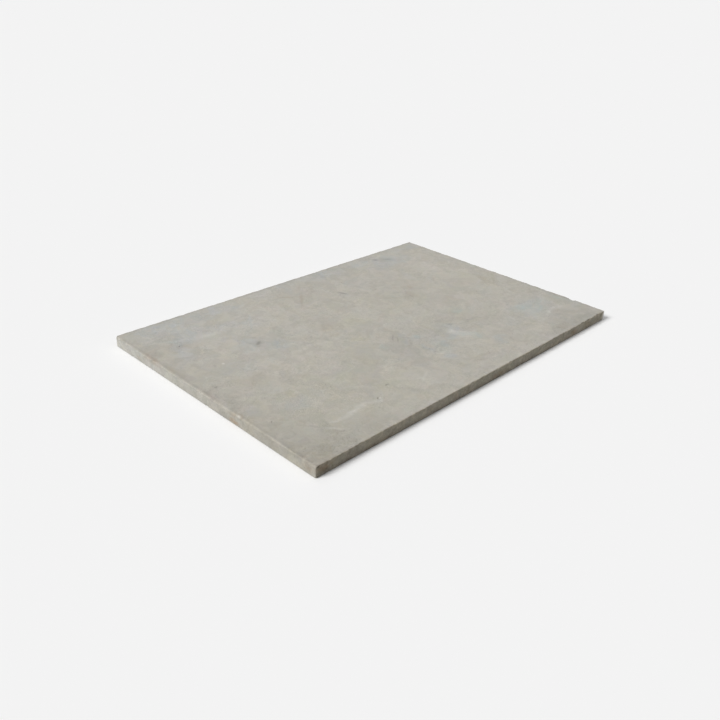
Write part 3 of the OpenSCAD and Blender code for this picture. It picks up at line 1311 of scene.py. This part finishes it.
def lay_floor(studio):
    bpy.ops.object.select_all(action="DESELECT")
    bpy.ops.mesh.primitive_circle_add(vertices=96, radius=FLOOR_RADIUS, fill_type="NGON")
    floor = bpy.context.object
    floor.name = "floor"
    material = bpy.data.materials.new("Studio floor")
    graph = Graph(material)
    bounce = (studio.bounce,) * 3
    shade = graph.mix(seen_ray(graph), bounce, studio.floor)
    shader = graph.add("ShaderNodeBsdfDiffuse", {}, {"Color": shade})
    graph.add("ShaderNodeOutputMaterial", {}, {"Surface": shader})
    floor.data.materials.append(material)
    floor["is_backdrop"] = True


def raise_dome(studio):
    """Light from all round above the floor, and behind it a backdrop of the floor's colour."""
    world = bpy.data.worlds.new("Studio dome")
    bpy.context.scene.world = world
    graph = Graph(world)
    _, _, height = graph.parts(graph.add("ShaderNodeTexCoord", output="Generated"))
    # A level surface gets as much light whatever the fall is.
    overhead = studio.dome * (DOME_FALL + 2) / 2
    dome = overhead * height.most(0) ** DOME_FALL
    grey = graph.add("ShaderNodeCombineColor", {}, {"Red": dome, "Green": dome, "Blue": dome})
    shade = graph.mix(seen_ray(graph), grey, studio.floor)
    shader = graph.add("ShaderNodeBackground", {}, {"Color": shade})
    graph.add("ShaderNodeOutputWorld", {}, {"Surface": shader})


def hang_lamp(studio):
    way = towards(KEY_TURN, KEY_HEIGHT)
    turn = way.to_track_quat("Z", "Y").to_euler()
    bpy.ops.object.light_add(type="SUN", location=way * KEY_DISTANCE, rotation=turn)
    lamp = bpy.context.object
    lamp.data.energy = studio.key
    lamp.data.angle = studio.key_spread


def place_camera():
    back = towards(VIEW_TURN, VIEW_HEIGHT)
    level = UP.cross(back).normalized()
    upright = back.cross(level)
    right = level * math.cos(VIEW_ROLL) + upright * math.sin(VIEW_ROLL)
    turn = Matrix((right, back.cross(right), back)).transposed()
    place = VIEW_TARGET + back * VIEW_DISTANCE
    bpy.ops.object.camera_add(location=place, rotation=turn.to_euler())
    camera = bpy.context.object
    camera.data.lens = LENS
    camera.data.clip_start = 0.01
    camera.data.clip_end = 100
    bpy.context.scene.camera = camera


class TileStage(bpy.types.Operator):
    """Makes the floor, the lights and the camera"""

    bl_idname = "tile.stage"
    bl_label = "Make the studio"

    def execute(self, context):
        studio = context.scene.tile_studio
        lay_floor(studio)
        raise_dome(studio)
        hang_lamp(studio)
        place_camera()
        context.scene.view_settings.view_transform = "Standard"
        return {"FINISHED"}


# ---- The panel and the run -------------------------------------------------------------------

GROUPS = {"tile_shape": TileShape, "tile_stone": TileStone, "tile_studio": TileStudio}


class TilePanel(bpy.types.Panel):
    """Lists the tile's sizes and colours, and its makers"""

    bl_idname = "VIEW3D_PT_tile"
    bl_label = "Limestone tile"
    bl_space_type = "VIEW_3D"
    bl_region_type = "UI"
    bl_category = "Tile"

    def draw(self, context):
        for name, group in GROUPS.items():
            box = self.layout.box()
            for field in group.__annotations__:
                box.prop(getattr(context.scene, name), field)
        for operator in (TileStoneBody, TileStage):
            self.layout.operator(operator.bl_idname)


CLASSES = (*GROUPS.values(), TileStoneBody, TileStage, TilePanel)


def register():
    for cls in CLASSES:
        bpy.utils.register_class(cls)
    for name, group in GROUPS.items():
        setattr(bpy.types.Scene, name, PointerProperty(type=group))


def unregister():
    for name in GROUPS:
        delattr(bpy.types.Scene, name)
    for cls in reversed(CLASSES):
        bpy.utils.unregister_class(cls)


def main():
    register()
    bpy.ops.tile.body()
    bpy.ops.tile.stage()
    corners = {"cad": CAD_BOUNDS, "visual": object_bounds()}
    sizes = {name: [list(corner) for corner in pair] for name, pair in corners.items()}


if __name__ == "__main__":
    main()
